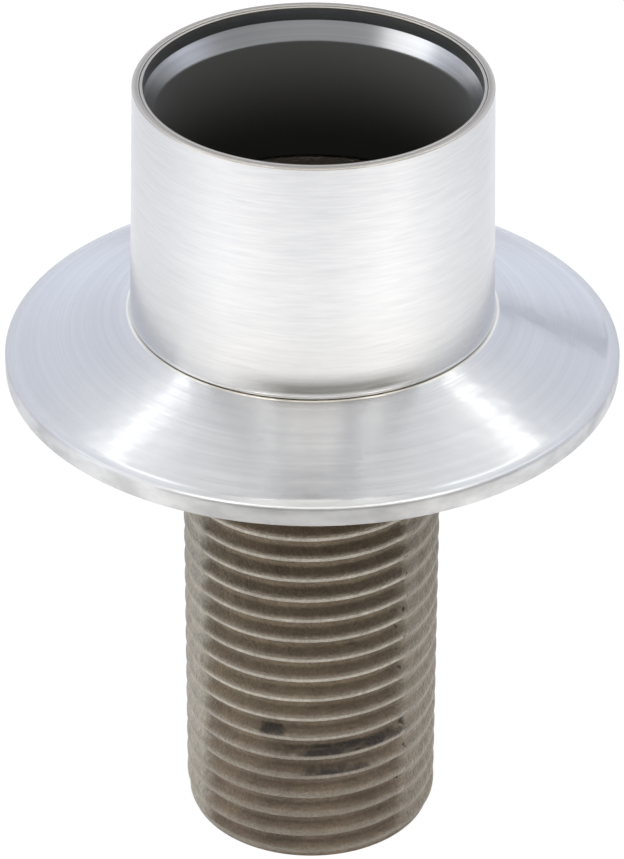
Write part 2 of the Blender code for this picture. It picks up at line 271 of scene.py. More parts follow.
def place(tree):
    """Where a point lies: its Object coordinates, their x, y and z, and its distance from the axis."""
    coords = add(tree, "ShaderNodeTexCoord").outputs["Object"]
    x, y, z = add(tree, "ShaderNodeSeparateXYZ", {0: coords}).outputs
    radius = math_node(tree, "SQRT", total(tree, product(tree, x, x), product(tree, y, y)))
    return Place(coords, x, y, z, radius)


def noise(tree, coords, scale, detail=3.0, roughness=0.6):
    inputs = {"Vector": coords, "Scale": scale, "Detail": detail, "Roughness": roughness}
    return add(tree, "ShaderNodeTexNoise", inputs).outputs["Fac"]


def turned_noise(tree, along, across, detail=3.0):
    """Noise in rings about Z: along is its scale round the piece and across its scale over the profile."""
    _, x, y, z, radius = place(tree)
    profile = total(tree, radius, product(tree, z, HEIGHT_SHARE))
    rings = {0: product(tree, x, along), 1: product(tree, y, along), 2: product(tree, profile, across)}
    vector = add(tree, "ShaderNodeCombineXYZ", rings).outputs[0]
    return noise(tree, vector, 1.0, detail, RING_ROUGHNESS)


def tool_lines(tree, fine, coarse, fine_share):
    """Fine tool lines over coarse ones. Each is the two scales and the detail of its noise."""
    return total(tree, product(tree, turned_noise(tree, *fine), fine_share),
                 product(tree, turned_noise(tree, *coarse), 1 - fine_share))


ACROSS_THE_LINES = 0.25


def round_tangent(tree):
    """The direction round the axis, which a turned metal's stretched highlights need."""
    return add(tree, "ShaderNodeTangent", direction_type="RADIAL", axis="Z").outputs[0]


# %% [markdown]
# ## Barrel
#
# The barrel is a drawn steel sleeve with a slight draft, brushed round and round. A cylinder primitive
# would do for the wall, but the small rounds at its rim and foot catch most of the light, so its section is
# drawn and spun.

# %% Model the barrel
RIM_WALL = 0.56 * MM
BARREL_SEAM = 0.06 * MM
BEAD = 0.09 * MM
BEAD_HEIGHT = 0.22 * MM
barrel_rim_radius = sleeve_radius + 0.09 * MM + RIM_WALL
barrel_foot = ledge_z + BARREL_SEAM
barrel = turned_piece(
    "brushed_barrel",
    [
        (barrel_rim_radius, rim_top, 0.10 * MM),
        (barrel_radius - 0.01 * MM, barrel_foot + BEAD_HEIGHT, 0.02 * MM),
        (barrel_radius + BEAD, barrel_foot + BEAD_HEIGHT, 0.08 * MM),
        (barrel_radius + BEAD, barrel_foot, 0.08 * MM),
        (barrel_rim_radius - RIM_WALL, barrel_foot, 0),
        (barrel_rim_radius - RIM_WALL, rim_top, 0.05 * MM),
    ],
)


# %% [markdown]
# The barrel was brushed while it turned, so its lines run round it: very fine ones over coarser ones, with
# slow clouds where the brush pressed harder. An image of scratches would need seams, and noise on the
# coordinates has none. Such lines stretch every highlight up and down the wall, which an anisotropic shader
# does. The lower half is a little duller from handling, the rim's cut edge is warmer, and a dark reflection
# is painted on the front of the foot.

# %% Brush the barrel
BRUSHED_STEEL = [(0.30, (0.755, 0.76, 0.775)), (0.70, (0.86, 0.86, 0.86))]
BRUSHED_ROUGHNESS = [(0.25, 0.28), (0.75, 0.20)]
CLOUDED_STEEL = (0.74, 0.75, 0.775)
CLOUD_SHARE = 0.2
CUT_EDGE_STEEL = (0.68, 0.64, 0.58)
HANDLED_STEEL = (0.64, 0.63, 0.61)
HANDLED_HEIGHT = 13 * MM
HANDLED_SHARE = 0.45
# Painted reflection: the dark colour painted on the front of the barrel's foot.
FOOT_PAINTED_REFLECTION = (0.24, 0.235, 0.215)
PAINTED_REFLECTION_FACING = math.radians(-83)
PAINTED_REFLECTION_REACH, PAINTED_REFLECTION_CORE = math.radians(34), math.radians(12)
BRUSH_DEPTH = 0.006 * MM
COARSE_BRUSH = (160, 3800, 3.0)


def painted_reflection_mask(tree):
    """Where a dark reflection is painted: 1 at the front of the barrel's foot, fading to the sides and
    upwards, and 0 on the bead.
    """
    _, x, y, z, _ = place(tree)
    off_front = apart(tree, math_node(tree, "ARCTAN2", y, x), PAINTED_REFLECTION_FACING)
    return product(
        tree,
        smooth_between(tree, z, barrel_foot + 2.4 * MM, barrel_foot + 0.7 * MM),
        smooth_between(tree, off_front, PAINTED_REFLECTION_REACH, PAINTED_REFLECTION_CORE),
        ramp(tree, turned_noise(tree, *COARSE_BRUSH), [(0.3, 1.0), (0.7, 0.75)]),
        smooth_between(tree, z, barrel_foot + 0.25 * MM, barrel_foot + 0.55 * MM),
    )


def make_barrel_finish():
    material, shader = new_finish(
        "brushed_steel", Metallic=1.0, Anisotropic=0.6, Anisotropic_Rotation=ACROSS_THE_LINES
    )
    tree = material.node_tree
    z = place(tree).z
    lines = tool_lines(tree, (420, 11000, 2.0), COARSE_BRUSH, 0.6)
    tint = ramp(tree, lines, BRUSHED_STEEL)
    cloud = turned_noise(tree, 60, 90)
    tint = blend_colors(tree, product(tree, cloud, CLOUD_SHARE), tint, CLOUDED_STEEL)
    on_rim = smooth_between(tree, z, rim_top - 0.16 * MM, rim_top - 0.06 * MM)
    tint = blend_colors(tree, on_rim, tint, CUT_EDGE_STEEL)
    handled = smooth_between(tree, z, barrel_foot + HANDLED_HEIGHT, barrel_foot)
    tint = blend_colors(tree, product(tree, handled, HANDLED_SHARE), tint, HANDLED_STEEL)
    # Paints a dark reflection on the front of the barrel's foot.
    tint = blend_colors(tree, painted_reflection_mask(tree), tint, FOOT_PAINTED_REFLECTION)
    join_shader(tree, shader, Base_Color=tint, Roughness=ramp(tree, lines, BRUSHED_ROUGHNESS),
                Normal=bump(tree, lines, BRUSH_DEPTH, 0.4), Tangent=round_tangent(tree))
    return material


settle(barrel, "barrel", "fitting", make_barrel_finish())

# %% [markdown]
# ## Flange
#
# The flange is a shallow cone with an upright rim. Under it are a recess for the washer and a groove for
# the gasket. One closed section holds all of that.

# %% Model the flange
RIM_HEIGHT = 1.4 * MM
LEDGE_SHOW = 0.28 * MM
LIP_WIDTH = 0.75 * MM
LIP_RISE = 0.35 * MM
RECESS_RADIUS = washer_radius + 0.6 * MM
RECESS_TOP = washer_top + 0.3 * MM
RIB_WIDTH = 0.8 * MM
GASKET_CLEARANCE = 0.3 * MM
HOLE_RADIUS = 11.3 * MM
STEP_RADIUS = 12.4 * MM
STEP_DEPTH = 1.2 * MM
groove_inner = RECESS_RADIUS + RIB_WIDTH
groove_outer = gasket_radius + GASKET_CLEARANCE
groove_top = gasket_top + GASKET_CLEARANCE
flange = turned_piece(
    "polished_flange",
    [
        (barrel_radius + LEDGE_SHOW, ledge_z, 0.14 * MM),
        (flange_radius - LIP_WIDTH, seat_z + RIM_HEIGHT + LIP_RISE, 0.4 * MM),
        (flange_radius, seat_z + RIM_HEIGHT + LIP_RISE, 0.42 * MM),
        (flange_radius, seat_z, 0.2 * MM),
        (groove_outer, seat_z, 0.08 * MM),
        (groove_outer, groove_top, 0),
        (groove_inner, groove_top, 0),
        (groove_inner, seat_z, 0.08 * MM),
        (RECESS_RADIUS, seat_z, 0.1 * MM),
        (RECESS_RADIUS, RECESS_TOP, 0.2 * MM),
        (HOLE_RADIUS, RECESS_TOP, 0.1 * MM),
        (HOLE_RADIUS, ledge_z - STEP_DEPTH, 0),
        (STEP_RADIUS, ledge_z - STEP_DEPTH, 0),
        (STEP_RADIUS, ledge_z, 0),
    ],
)


# %% [markdown]
# The cone was polished in the lathe, so faint rings are left in a mirror. Three places differ: the strip of
# ledge at the barrel's foot has a warm highlight painted on, the lip is duller, and the rim's upright side
# is a rolled, mottled grey with painted light that makes it brighter at its left and right. Masks on the
# radius pick them out, so one material does the whole flange.

# %% Polish the flange
POLISHED_STEEL = [(0.30, (0.68, 0.685, 0.70)), (0.70, (0.77, 0.775, 0.785))]
POLISHED_ROUGHNESS = [(0.25, 0.25), (0.75, 0.15)]
# A warm highlight painted on the ledge strip at the barrel's foot.
LEDGE_PAINTED_HIGHLIGHT = (0.95, 0.92, 0.85)
SIDE_GREYS = [(0.35, 0.40), (0.60, 0.52)]
# Painted light: how much brighter the rim's side is painted at its left and right.
SIDE_PAINTED_LIGHT_GAIN = 1.45
LIP_ROUGHNESS = (0.40, 0.40, 0.40)
POLISH_DEPTH = 0.006 * MM
RIPPLE_DEPTH = 0.12 * MM


def side_grey_with_painted_light(tree):
    """The mottled grey of the rim's side, with painted light that makes it brighter away from its middle.
    """
    mottled = ramp(tree, turned_noise(tree, 260, 900), SIDE_GREYS)
    off_middle = math_node(tree, "ABSOLUTE", place(tree).x)
    # Painted light on the rim's side, growing away from its middle.
    painted_light_gain = ramp(tree, smooth_between(tree, off_middle, 6 * MM, 13 * MM), [(0.0, 1.0), (1.0, SIDE_PAINTED_LIGHT_GAIN)])
    return product(tree, mottled, painted_light_gain)


def make_flange_finish():
    material, shader = new_finish(
        "polished_steel", Metallic=1.0, Anisotropic=0.75, Anisotropic_Rotation=ACROSS_THE_LINES
    )
    tree = material.node_tree
    radius = place(tree).radius
    lines = tool_lines(tree, (30, 7000, 2.0), (14, 1500, 3.0), 0.5)
    ledge_edge = barrel_radius + LEDGE_SHOW
    on_ledge = smooth_between(tree, radius, ledge_edge + 0.12 * MM, ledge_edge)
    # Paints the warm highlight on the ledge strip.
    tint = blend_colors(tree, on_ledge, ramp(tree, lines, POLISHED_STEEL), LEDGE_PAINTED_HIGHLIGHT)
    on_side = smooth_between(tree, radius, flange_radius - 0.10 * MM, flange_radius - 0.03 * MM)
    tint = blend_colors(tree, on_side, tint, side_grey_with_painted_light(tree))
    on_lip = smooth_between(tree, radius, flange_radius - 0.95 * MM, flange_radius - 0.65 * MM)
    rough = blend_colors(tree, on_lip, ramp(tree, lines, POLISHED_ROUGHNESS), LIP_ROUGHNESS)
    rolled = bump(tree, turned_noise(tree, 190, 240, 2.0), RIPPLE_DEPTH, 0.5)
    join_shader(tree, shader, Base_Color=tint, Roughness=rough,
                Normal=bump(tree, lines, POLISH_DEPTH, 0.6, rolled), Tangent=round_tangent(tree))
    return material


settle(flange, "flange", "fitting", make_flange_finish())

# %% [markdown]
# ## Seat sleeve
#
# The liner is pressed into the barrel. Its thin lip shows inside the barrel's rim, then come a counterbore,
# a polished cone that a hose tail seats on, and a dull bore.

# %% Model the seat sleeve
LIP_WALL = 0.24 * MM
BORE_RADIUS = 12.7 * MM
COUNTERBORE_DEPTH = 1.2 * MM
SEAT_HEIGHT = 1.5 * MM
sleeve_outer = sleeve_radius + 0.04 * MM
seat_top = rim_top - COUNTERBORE_DEPTH
seat_foot = seat_top - SEAT_HEIGHT
sleeve = turned_piece(
    "seat_sleeve_liner",
    [
        (sleeve_outer, rim_top - 0.04 * MM, 0.05 * MM),
        (sleeve_outer, sleeve_base, 0.15 * MM),
        (BORE_RADIUS, sleeve_base, 0.15 * MM),
        (BORE_RADIUS, seat_foot, 0.15 * MM),
        (sleeve_outer - LIP_WALL, seat_top, 0.05 * MM),
        (sleeve_outer - LIP_WALL, rim_top - 0.04 * MM, 0.06 * MM),
    ],
)


# %% [markdown]
# The liner is polished from its lip down to the foot of the cone, where a seal has to seat, and is dull in
# the bore below. The bore also grows darker with depth, as little light gets down there. One height mask
# parts the two.

# %% Finish the sleeve
DEEP_BORE = (0.045, 0.045, 0.045)
UPPER_BORE = (0.24, 0.24, 0.232)
BORE_SHADE_DEPTH = 9 * MM
SEAT_STEEL = [(0.3, (0.68, 0.69, 0.70)), (0.7, (0.78, 0.79, 0.80))]
LIP_STEEL = (0.62, 0.59, 0.54)
SEAT_LINE_DEPTH = 0.003 * MM


def make_sleeve_finish():
    material, shader = new_finish("liner_steel")
    tree = material.node_tree
    z = place(tree).z
    polished = smooth_between(tree, z, seat_foot - 0.06 * MM, seat_foot + 0.06 * MM)
    shade = smooth_between(tree, z, seat_foot - BORE_SHADE_DEPTH, seat_foot)
    dull = blend_colors(tree, shade, DEEP_BORE, UPPER_BORE)
    lines = turned_noise(tree, 30, 5000, 2.0)
    on_lip = smooth_between(tree, z, rim_top - 0.35 * MM, rim_top - 0.15 * MM)
    bright = blend_colors(tree, on_lip, ramp(tree, lines, SEAT_STEEL), LIP_STEEL)
    join_shader(tree, shader, Base_Color=blend_colors(tree, polished, dull, bright),
                Roughness=ramp(tree, polished, [(0.0, 0.5), (1.0, 0.28)]),
                Metallic=total(tree, product(tree, polished, 0.55), 0.45),
                Normal=bump(tree, lines, SEAT_LINE_DEPTH, 0.2))
    return material


settle(sleeve, "seat_sleeve", "fitting", make_sleeve_finish())

# %% [markdown]
# ## Threaded stem
#
# A screw thread is a section that climbs as it turns. The section here is one pitch of rounded ridge,
# stacked up the whole length, and spin lifts the stack by exactly one pitch in a turn, so that every ridge
# meets the next one up where the sweep closes. Points past the ends are then drawn in to plain rings.

# %% Model the stem's thread
PITCH = 2.0 * MM
CREST_RADIUS = 10.75 * MM
THREAD_DEPTH = 0.8 * MM
CREST_WIDTH = 0.5 * MM
FLANK = THREAD_DEPTH * math.tan(math.radians(30))
THREAD_ROUNDING = 0.13 * MM
THREAD_PHASE = 1.2 * MM
THREAD_TOP = 45.6 * MM
STEM_END_RADIUS = 10.3 * MM
SHANK_RADIUS = 10.9 * MM
RUNOUT = 1.5 * MM
STEM_STEPS = 200


def thread_corners(low, high, grow=0.0):
    """The stacked section of a thread that covers low to high, with one pitch to spare at each end."""
    first = math.floor((low - THREAD_PHASE) / PITCH) - 1
    last = math.ceil((high - THREAD_PHASE) / PITCH) + 1
    root = CREST_RADIUS - THREAD_DEPTH + grow
    corners = []
    for turn in range(first, last + 1):
        crest = THREAD_PHASE + turn * PITCH
        corners += [
            (CREST_RADIUS + grow, crest - CREST_WIDTH / 2, THREAD_ROUNDING),
            (CREST_RADIUS + grow, crest + CREST_WIDTH / 2, THREAD_ROUNDING),
            (root, crest + CREST_WIDTH / 2 + FLANK, THREAD_ROUNDING),
            (root, crest + PITCH - CREST_WIDTH / 2 - FLANK, THREAD_ROUNDING),
        ]
    return corners


def soft_step(value, low, high):
    share = min(max((value - low) / (high - low), 0), 1)
    return share * share * (3 - 2 * share)


def draw_in(bm, low, high, low_radius, high_radius, runout):
    """Clamps a thread between two heights and fades it to a ring of the given radius at each."""
    for vert in bm.verts:
        height = min(max(vert.co.z, low), high)
        near_low = height < (low + high) / 2
        end, end_radius = (low, low_radius) if near_low else (high, high_radius)
        flat = vert.co.xy
        radius = end_radius + (flat.length - end_radius) * soft_step(abs(height - end), 0, runout)
        flat = flat.normalized() * radius
        vert.co = (flat.x, flat.y, height)
    bmesh.ops.remove_doubles(bm, verts=bm.verts, dist=MERGE_DISTANCE)


stem_mesh = bmesh.new()
chain(stem_mesh, thread_corners(0, THREAD_TOP), closed=False, segments=3)
spin_round(stem_mesh, STEM_STEPS, PITCH)
draw_in(stem_mesh, 0, THREAD_TOP, STEM_END_RADIUS, SHANK_RADIUS, RUNOUT)
print(f"thread: {len(stem_mesh.faces)} faces")

# %% [markdown]
# The rest of the stem is plain turning: the shank, the collar with its O-ring groove, the funnel and the
# bore. It is spun in a mesh of its own with the same number of steps, so that its two rims fall on the
# thread's two rims. The two lugs in the bore, for a step wrench, are patches of the bore's wall pushed
# inwards.

# %% Add the collar, the funnel and the bore
BORE = 7.5 * MM
COLLAR_BASE = ledge_z + 0.3 * MM
GROOVE_LOW = COLLAR_BASE + 2.2 * MM
GROOVE_HIGH = GROOVE_LOW + 2.0 * MM
GROOVE_RADIUS = 12.0 * MM
FUNNEL_RADIUS = collar_radius - 0.9 * MM
FUNNEL_FOOT = collar_top - (FUNNEL_RADIUS - BORE)
LUG_TOP = ledge_z - 1.5 * MM
LUG_FOOT = LUG_TOP - 8.0 * MM
LUG_HALF_WIDTH = 1.25 * MM
LUG_FACE = 6.0 * MM


def join_shells(bm, other):
    """Moves the second bmesh's faces into the first, and merges the rims where the two meet."""
    carrier = bpy.data.meshes.new("carrier")
    other.to_mesh(carrier)
    other.free()
    bm.from_mesh(carrier)
    bpy.data.meshes.remove(carrier)
    bmesh.ops.remove_doubles(bm, verts=bm.verts, dist=MERGE_DISTANCE)
    open_edges = sum(edge.is_boundary for edge in bm.edges)
    print(f"joined shells: {len(bm.faces)} faces, {open_edges} open edges")


plain_mesh = bmesh.new()
chain(
    plain_mesh,
    [
        (SHANK_RADIUS, THREAD_TOP, 0),
        (SHANK_RADIUS, COLLAR_BASE, 0),
        (collar_radius, COLLAR_BASE, 0.2 * MM),
        (collar_radius, GROOVE_LOW, 0),
        (GROOVE_RADIUS, GROOVE_LOW, 0),
        (GROOVE_RADIUS, GROOVE_HIGH, 0),
        (collar_radius, GROOVE_HIGH, 0),
        (collar_radius, collar_top, 0.3 * MM),
        (FUNNEL_RADIUS, collar_top, 0.3 * MM),
        (BORE, FUNNEL_FOOT, 0.8 * MM),
        (BORE, LUG_TOP, 0),
        (BORE, LUG_FOOT, 0),
        (BORE, 0, 0.3 * MM),
        (STEM_END_RADIUS, 0, 0),
    ],
    closed=False,
)
spin_round(plain_mesh, STEM_STEPS)


def on_lug(middle):
    in_height = LUG_FOOT < middle.z < LUG_TOP
    return in_height and abs(middle.y) < LUG_HALF_WIDTH and middle.xy.length < BORE + 0.01 * MM


lug_faces = [face for face in plain_mesh.faces if on_lug(face.calc_center_median())]
pushed = bmesh.ops.extrude_face_region(plain_mesh, geom=lug_faces)["geom"]
for vert in (item for item in pushed if isinstance(item, bmesh.types.BMVert)):
    vert.co.x = math.copysign(LUG_FACE, vert.co.x)
bmesh.ops.delete(plain_mesh, geom=lug_faces, context="FACES")
join_shells(stem_mesh, plain_mesh)

# %% [markdown]
# The stem was cast in a mould of two halves. Each half pulls straight off, so the thread is cut deep only
# in the sector that faces it, and is shallow and round at the sides. A faint ridge stands where the two
# kinds of thread meet. All of this is moved vertices, so that it holds from every side.

# %% Shape the cast thread
MOULD_FACING = math.radians(-96)
DEEP_SECTOR = math.radians(50)
SECTOR_BLEND = math.radians(5)
SHALLOW_DEPTH = 0.38 * MM
SEAM_RISE = 0.06 * MM
SEAM_WIDTH = 0.30 * MM
HALF_SHIFT = 0.10 * MM


def thread_phase(x, y, z):
    """Height above the nearest crest, in pitches, from -0.5 to 0.5."""
    turns = (z - THREAD_PHASE) / PITCH - math.atan2(y, x) / (2 * math.pi)
    return (turns + 0.5) % 1 - 0.5


for vert in stem_mesh.verts:
    flat = vert.co.xy
    if flat.length < CREST_RADIUS - THREAD_DEPTH - 0.2 * MM or not 0 < vert.co.z < THREAD_TOP:
        continue
    half_turn = (math.atan2(flat.y, flat.x) - MOULD_FACING + math.pi / 2) % math.pi - math.pi / 2
    shallow = soft_step(abs(half_turn), DEEP_SECTOR, DEEP_SECTOR + SECTOR_BLEND)
    fade = min(vert.co.z / RUNOUT, (THREAD_TOP - vert.co.z) / RUNOUT, 1)
    wave = (1 - math.cos(2 * math.pi * thread_phase(*vert.co))) / 2
    soft = CREST_RADIUS - 0.03 * MM - SHALLOW_DEPTH * wave
    radius = flat.length + (soft - flat.length) * shallow * fade
    from_seam = (abs(half_turn) - DEEP_SECTOR) * CREST_RADIUS
    radius += SEAM_RISE * math.exp(-((from_seam / SEAM_WIDTH) ** 2)) * fade * (wave < 0.9)
    vert.co.xy = flat.normalized() * min(radius, SHANK_RADIUS)
    if half_turn > 0:
        vert.co.z -= HALF_SHIFT * shallow * fade

print(f"thread {THREAD_DEPTH / MM:.2f} mm deep front and back, {SHALLOW_DEPTH / MM:.2f} mm at the sides")
stem = to_piece(stem_mesh, "threaded_stem_casting")

# %% [markdown]
# Cast bronze left alone goes brown. The flanks are painted dark as shade, the crests have a painted
# highlight along their lower edge, and soot and grime sit in the grooves near the end. An unwrapped picture
# of the thread would do for one stem, but masks worked out from the shape follow any pitch. So the first
# helpers find
# where a point lies on the thread: its height above the nearest crest, from the height and the angle about
# the axis, and the mould half it faces.

# %% Find the place on the thread
def crest_phase(tree, angle, z):
    """Height above the nearest crest, in pitches, from -0.5 to 0.5."""
    climbed = product(tree, difference(tree, z, THREAD_PHASE), 1 / PITCH)
    return off_whole(tree, difference(tree, climbed, product(tree, angle, 0.5 / math.pi)))


def angle_off_mould(tree, angle):
    """How far round a point is from the middle of the mould half that made it."""
    half_turns = product(tree, difference(tree, angle, MOULD_FACING), 1 / math.pi)
    return product(tree, math_node(tree, "ABSOLUTE", off_whole(tree, half_turns)), math.pi)


def band(tree, value, rise_from, rise_to, fall_from, fall_to):
    """1 between rise_to and fall_from, and 0 outside rise_from and fall_to."""
    return product(tree, smooth_between(tree, value, rise_from, rise_to),
                   smooth_between(tree, value, fall_to, fall_from))


# %% [markdown]
# Soot collects in patches. Each is an oval in height and angle, and noise of a millimetre or two tears its
# outline. It lies on the lower flank only, and streaks round the stem thin it out. Pits follow the mould's
# parting line.

# %% Soot and pits
SOOT_PATCHES = [(13.2, -108, 0.8, 7), (13.8, -99, 0.5, 6), (10.9, -74, 0.9, 38), (8.7, -80, 0.8, 20)]
SOOT_TEAR = 2.2
SOOT_BLACK = (0.016, 0.012, 0.012)
SOOT_SHARE = 0.95
PIT_BROWN = (0.035, 0.028, 0.022)
PIT_REACH = (0.07, 0.02)


def soot_patch(tree, angle, z, ragged, height, facing, rise, turn):
    """A ragged patch: its height and rise are in millimetres, its facing and turn in degrees."""
    aside = product(tree, difference(tree, angle, math.radians(facing)), 1 / math.radians(turn))
    above = product(tree, difference(tree, z, height * MM), 1 / (rise * MM))
    spread = total(tree, product(tree, aside, aside), product(tree, above, above))
    return smooth_between(tree, total(tree, spread, ragged), 1.0, 0.2)


def soot_mask(tree, coords, angle, z, phase):
    """All the patches together, streaked and kept to the lower flank of the thread."""
    ragged = product(tree, difference(tree, noise(tree, coords, 600.0), 0.5), SOOT_TEAR)
    soot = 0.0
    for patch in SOOT_PATCHES:
        soot = math_node(tree, "MAXIMUM", soot_patch(tree, angle, z, ragged, *patch), soot)
    streaks = ramp(tree, turned_noise(tree, 260, 1500, 4.0), [(0.58, 1.0), (0.78, 0.0)])
    return product(tree, soot, streaks, band(tree, phase, 0.02, 0.10, 0.3, 0.5))


def pit_mask(tree, coords, x, off_mould):
    """Small holes along the parting line on the +X side."""
    parting = DEEP_SECTOR + SECTOR_BLEND / 2
    holes = ramp(tree, noise(tree, coords, 1100.0, 2.0), [(0.60, 0.0), (0.66, 1.0)])
    return product(tree, smooth_between(tree, apart(tree, off_mould, parting), *PIT_REACH), holes,
                   smooth_between(tree, x, 0.0, 1 * MM))


# %% [markdown]
# The bronze itself goes on in layers, as paint would: the brown and tan of the casting, the greyer shallow
# sides with painted light on the left one, the painted shade on the flanks and the worn crests with a
# painted highlight on their lower edge. A speckle over all of them is the skin that the sand left.

# %% Color the casting
UPPER_BROWN = [(0.35, (0.22, 0.168, 0.105)), (0.65, (0.31, 0.243, 0.158))]
LOWER_TAN = [(0.35, (0.17, 0.127, 0.087)), (0.65, (0.33, 0.255, 0.180))]
# The left side's colour carries painted light, so it is much lighter than the right.
LEFT_SIDE_PAINTED_LIGHT, RIGHT_SIDE = (0.52, 0.49, 0.43), (0.29, 0.25, 0.195)
SIDE_SHARE = 0.75
# Painted shade for the flanks of the thread.
FLANK_PAINTED_SHADE = (0.115, 0.086, 0.055)
BLOTCH_BROWN = (0.075, 0.06, 0.043)
WORN_CREST = (0.25, 0.225, 0.185)
WORN_SHARE = 0.7
# Painted highlight for the lower edge of the crests.
CREST_PAINTED_HIGHLIGHT = (0.66, 0.62, 0.54)


def casting_color(tree, x, phase, deep, low_end, mottle, blotch):
    """Brown above and tan at the low end, then the shallow sides with painted light on the left, the
    painted shade of the flanks and darker blotches.
    """
    color = blend_colors(tree, low_end, ramp(tree, mottle, UPPER_BROWN), ramp(tree, mottle, LOWER_TAN))
    # Greyer shallow sides, with painted light making the left one much lighter.
    side = blend_colors(tree, smooth_between(tree, x, -2 * MM, 2 * MM), LEFT_SIDE_PAINTED_LIGHT, RIGHT_SIDE)
    color = blend_colors(tree, product(tree, difference(tree, 1.0, deep), SIDE_SHARE), color, side)
    # Painted shade on the flanks, weaker at the left and at the low end.
    less_shade_at_left = ramp(tree, smooth_between(tree, x, -9.5 * MM, -2 * MM), [(0.0, 0.25), (1.0, 1.0)])
    flank = product(tree, band(tree, phase, 0.10, 0.2, 0.3, 0.45), deep,
                    difference(tree, 0.7, product(tree, low_end, 0.2)), less_shade_at_left)
    color = blend_colors(tree, flank, color, FLANK_PAINTED_SHADE)
    return blend_colors(tree, ramp(tree, blotch, [(0.45, 0.0), (0.75, 0.5)]), color, BLOTCH_BROWN)


def painted_crest_highlight(tree, phase, deep, low_end, mottle, blotch):
    """A painted highlight along the lower edge of each crest. It breaks up in blotches, and is nearly gone
    at the low end.
    """
    return product(tree, band(tree, phase, -0.22, -0.15, -0.02, 0.06), deep,
                   ramp(tree, blotch, [(0.3, 1.0), (0.75, 0.5)]),
                   ramp(tree, mottle, [(0.3, 0.65), (0.6, 1.0)]),
                   difference(tree, 1.0, product(tree, low_end, 0.85)))


# %% [markdown]
# All of that comes together here. The sheen stands for the dusty, matt skin that scatters light at its
# edges, which a plain metal can't show. The inside of the bore and the collar are painted dark as shade.

# %% Finish the stem
LOW_END = (17 * MM, 7 * MM)
# Painted shade for the inside of the bore and for the collar.
BORE_PAINTED_SHADE = (0.016, 0.011, 0.008)
BORE_SHADE_SHARE = 0.9
SPECKLE = [(0.38, 0.6), (0.58, 1.0)]
SPECKLE_SHARE = 0.6
SKIN_DEPTH = 0.14 * MM


def make_stem_finish():
    material, shader = new_finish(
        "cast_bronze", Metallic=0.5, Sheen_Weight=0.6, Sheen_Roughness=0.5,
        Sheen_Tint=(1.0, 0.93, 0.82, 1)
    )
    tree = material.node_tree
    coords, x, y, z, radius = place(tree)
    angle = math_node(tree, "ARCTAN2", y, x)
    phase = crest_phase(tree, angle, z)
    off_mould = angle_off_mould(tree, angle)
    deep = smooth_between(tree, off_mould, DEEP_SECTOR + SECTOR_BLEND, DEEP_SECTOR - SECTOR_BLEND)
    mottle = noise(tree, coords, 230.0, 4.0)
    blotch = noise(tree, coords, 900.0, 4.0)
    grain = noise(tree, coords, 4200.0)
    low_end = smooth_between(tree, z, *LOW_END)

    color = casting_color(tree, x, phase, deep, low_end, mottle, blotch)
    worn = product(tree, band(tree, phase, -0.26, -0.16, 0.10, 0.22),
                   ramp(tree, blotch, [(0.3, 1.0), (0.75, 0.6)]))
    color = blend_colors(tree, product(tree, worn, WORN_SHARE), color, WORN_CREST)
    # Paints a highlight along the lower edge of each crest.
    color = blend_colors(tree, painted_crest_highlight(tree, phase, deep, low_end, mottle, blotch), color, CREST_PAINTED_HIGHLIGHT)
    color = blend_colors(tree, pit_mask(tree, coords, x, off_mould), color, PIT_BROWN)
    soot = product(tree, soot_mask(tree, coords, angle, z, phase), SOOT_SHARE)
    color = blend_colors(tree, soot, color, SOOT_BLACK)
    # Painted shade inside the bore and on the collar.
    inside = math_node(tree, "MAXIMUM", smooth_between(tree, radius, 7.9 * MM, 7.6 * MM),
                       smooth_between(tree, z, COLLAR_BASE - 0.2 * MM, COLLAR_BASE))
    color = blend_colors(tree, product(tree, inside, BORE_SHADE_SHARE), color, BORE_PAINTED_SHADE)
    color = blend_colors(tree, SPECKLE_SHARE, color, ramp(tree, grain, SPECKLE), "MULTIPLY")

    rough = difference(tree, total(tree, product(tree, grain, 0.25), 0.42), product(tree, worn, 0.2))
    skin = total(tree, product(tree, grain, 1.3), product(tree, blotch, 2.2))
    join_shader(tree, shader, Base_Color=color, Roughness=rough, Normal=bump(tree, skin, SKIN_DEPTH, 0.9))
    return material


settle(stem, "threaded_stem", "fitting", make_stem_finish())

# %% [markdown]
# ## Lock nut
#
# A hexagon can be spun too: the section is swept as a round, and each outer vertex is then pushed out to
# the flat that faces it. The chamfer on the corners is a height that drops with the distance from the axis.
# The bore is the stem's own thread, grown by the running clearance.

# %% Model the lock nut
NUT_STEPS = 192
THREAD_GAP = 0.25 * MM
NUT_EDGE = 0.12 * MM
NUT_CHAMFER_SLOPE = 0.32
FACE_STEP = 0.4 * MM
COUNTERSINK = 0.5 * MM
nut_middle = (nut_top + nut_base) / 2


def hexagon_reach(angle):
    """How far the middle of a flat is stretched to reach the hexagon at this angle."""
    third = math.pi / 3
    return 1 / math.cos((angle + third) % third - third / 2)


